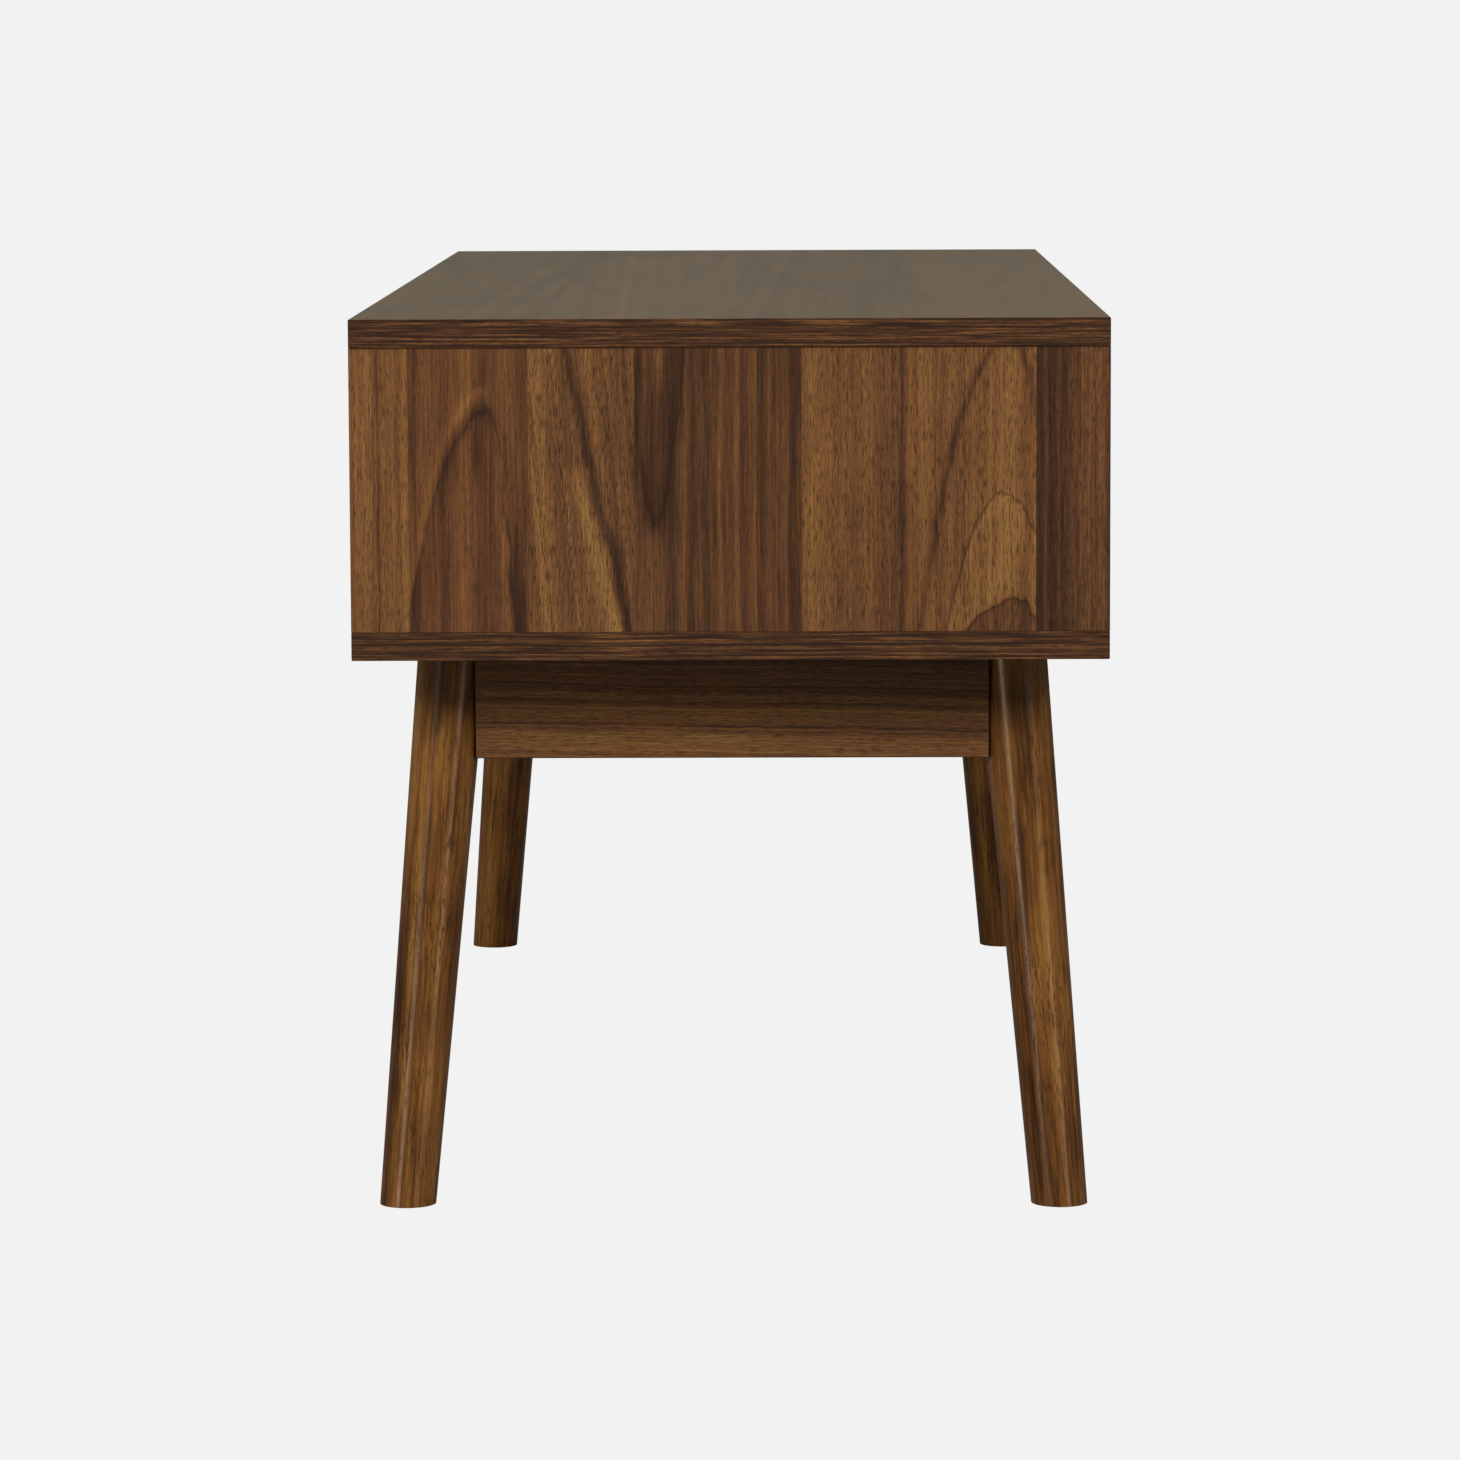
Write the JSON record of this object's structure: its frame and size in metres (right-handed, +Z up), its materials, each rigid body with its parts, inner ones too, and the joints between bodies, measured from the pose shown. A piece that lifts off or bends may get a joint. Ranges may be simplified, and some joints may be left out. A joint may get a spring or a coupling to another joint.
{
  "type": "side table with drawer",
  "caption": "Long low walnut side table: a closed case with an inset drawer beside an open cubby, on a splayed round-leg frame.",
  "frame": {"origin": "on the floor, under the middle of the case", "axes": "+X along the table's length, +Z up, the open front with the drawer faces -Y; left and right as seen from the front"},
  "size_m": [1, 0.4, 0.48],
  "materials": {
    "walnut_veneer": "satin walnut veneer",
    "walnut_legs": "satin lacquered solid wood",
    "walnut_aprons": "satin lacquered solid wood",
    "birch": "clear lacquered light wood",
    "beech": "bare turned wood",
    "slide_steel": "zinc plated sheet",
    "ball_steel": "polished",
    "cage_plastic": "moulded",
    "screw_steel": "zinc plated",
    "cam_zinc": "die cast",
    "cover_plastic": "brown moulded cap",
    "stop_rubber": "black",
    "glide_plastic": "pale moulded nylon"
  },
  "bodies": {
    "table": {"top_board": "walnut_veneer", "bottom_board": "walnut_veneer", "end_panel_left": "walnut_veneer", "end_panel_right": "walnut_veneer", "back_panel": "walnut_veneer", "centre_divider": "walnut_veneer", "leg_front_left": "walnut_legs", "leg_front_right": "walnut_legs", "leg_back_left": "walnut_legs", "leg_back_right": "walnut_legs", "apron_front": "walnut_aprons", "apron_back": "walnut_aprons", "apron_left": "walnut_aprons", "apron_right": "walnut_aprons", "corner_block_front_left": "birch", "corner_block_front_right": "birch", "corner_block_back_left": "birch", "corner_block_back_right": "birch", "dowels": "beech", "slide_outer_left": "slide_steel", "slide_outer_right": "slide_steel", "hanger_bolts": "screw_steel", "washers": "screw_steel", "hanger_nuts": "screw_steel", "block_screws": "screw_steel", "frame_screws": "screw_steel", "slide_screws_case": "screw_steel", "cam_bolts": "screw_steel", "cam_discs": "cam_zinc", "cam_covers": "cover_plastic", "slide_stops": "stop_rubber", "foot_glides": "glide_plastic"},
    "drawer": {"drawer_front": "walnut_veneer", "drawer_side_left": "birch", "drawer_side_right": "birch", "drawer_back": "birch", "drawer_bottom": "birch", "drawer_cams": "cam_zinc", "drawer_cam_bolts": "screw_steel", "drawer_back_screws": "screw_steel", "slide_screws_drawer": "screw_steel", "slide_inner_left": "slide_steel", "slide_inner_right": "slide_steel"},
    "slide_middle_left": {"slide_middle_left": "slide_steel"},
    "slide_middle_right": {"slide_middle_right": "slide_steel"},
    "cage_outer_left": {"ball_cage_outer_left": "cage_plastic", "balls_outer_left": "ball_steel"},
    "cage_outer_right": {"ball_cage_outer_right": "cage_plastic", "balls_outer_right": "ball_steel"},
    "cage_inner_left": {"ball_cage_inner_left": "cage_plastic", "balls_inner_left": "ball_steel"},
    "cage_inner_right": {"ball_cage_inner_right": "cage_plastic", "balls_inner_right": "ball_steel"}
  },
  "joints": [
    {"name": "drawer_slide", "type": "slide", "parent": "table", "child": "drawer", "axis": [0, -1, 0], "range_m": [0, 0.34]},
    {"name": "slide_middle_left_travel", "type": "slide", "parent": "table", "child": "slide_middle_left", "axis": [0, -1, 0], "range_m": [0, 0.1705]},
    {"name": "cage_outer_left_travel", "type": "slide", "parent": "table", "child": "cage_outer_left", "axis": [0, -1, 0], "range_m": [0, 0.0855]},
    {"name": "cage_inner_left_travel", "type": "slide", "parent": "table", "child": "cage_inner_left", "axis": [0, -1, 0], "range_m": [0, 0.2555]},
    {"name": "slide_middle_right_travel", "type": "slide", "parent": "table", "child": "slide_middle_right", "axis": [0, -1, 0], "range_m": [0, 0.1705]},
    {"name": "cage_outer_right_travel", "type": "slide", "parent": "table", "child": "cage_outer_right", "axis": [0, -1, 0], "range_m": [0, 0.0855]},
    {"name": "cage_inner_right_travel", "type": "slide", "parent": "table", "child": "cage_inner_right", "axis": [0, -1, 0], "range_m": [0, 0.2555]}
  ],
  "couplings": [
    {"joint": "slide_middle_left_travel", "follows": "drawer_slide", "ratio": 0.5},
    {"joint": "cage_outer_left_travel", "follows": "drawer_slide", "ratio": 0.25},
    {"joint": "cage_inner_left_travel", "follows": "drawer_slide", "ratio": 0.75},
    {"joint": "slide_middle_right_travel", "follows": "drawer_slide", "ratio": 0.5},
    {"joint": "cage_outer_right_travel", "follows": "drawer_slide", "ratio": 0.25},
    {"joint": "cage_inner_right_travel", "follows": "drawer_slide", "ratio": 0.75}
  ]
}
